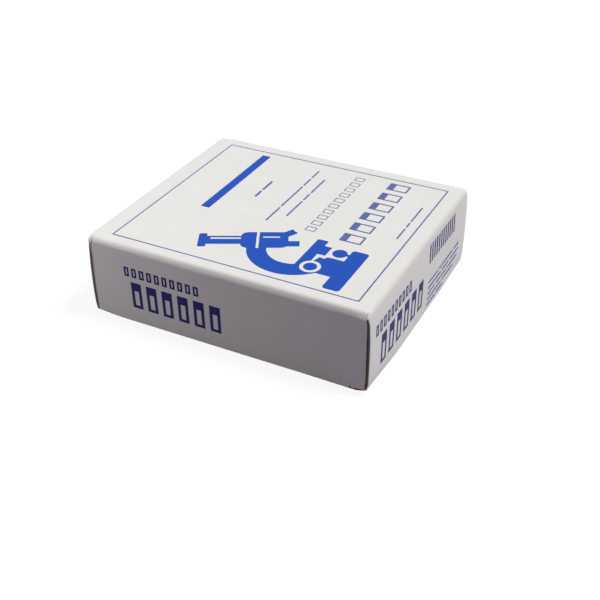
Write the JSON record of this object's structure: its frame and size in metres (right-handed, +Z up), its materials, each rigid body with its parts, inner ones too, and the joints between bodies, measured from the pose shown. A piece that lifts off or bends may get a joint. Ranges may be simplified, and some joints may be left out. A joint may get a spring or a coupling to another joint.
{
  "type": "carton of microscope slides",
  "caption": "Closed straight-tuck carton of folding board, full of glass microscope slides that stand on edge.",
  "frame": {"origin": "middle of the carton's base, on the surface that it stands on", "axes": "+X across the closures to the right, +Y from the front closure to the rear one, +Z up"},
  "size_m": [0.092, 0.079, 0.028],
  "materials": {
    "board": "white coated folding board, satin outside",
    "glass": "clear soda-lime glass with ground edges"
  },
  "bodies": {
    "box": {"carton": "board", "glass_slides_1": "glass", "glass_slides_2": "glass", "glass_slides_3": "glass", "glass_slides_4": "glass", "glass_slides_5": "glass", "glass_slides_6": "glass"},
    "front_lid": {"front_lid": "board"},
    "front_tuck": {"front_tuck_flap": "board"},
    "rear_lid": {"rear_lid": "board"},
    "rear_tuck": {"rear_tuck_flap": "board"}
  },
  "joints": [
    {"name": "front_lid_fold", "type": "hinge", "parent": "box", "child": "front_lid", "pos_m": [0, -0.03897, 0.02747], "axis": [-1, 0, 0], "range_deg": [0, 100]},
    {"name": "front_tuck_fold", "type": "hinge", "parent": "front_lid", "child": "front_tuck", "pos_m": [0, -0.03874, 0.00133], "axis": [1, 0, 0], "range_deg": [0, 40]},
    {"name": "rear_lid_fold", "type": "hinge", "parent": "box", "child": "rear_lid", "pos_m": [0, 0.03897, 0.02747], "axis": [1, 0, 0], "range_deg": [0, 100]},
    {"name": "rear_tuck_fold", "type": "hinge", "parent": "rear_lid", "child": "rear_tuck", "pos_m": [0, 0.03874, 0.00133], "axis": [-1, 0, 0], "range_deg": [0, 40]}
  ],
  "couplings": [
    {"joint": "front_tuck_fold", "follows": "front_lid_fold", "ratio": 0.4},
    {"joint": "rear_tuck_fold", "follows": "rear_lid_fold", "ratio": 0.4}
  ]
}
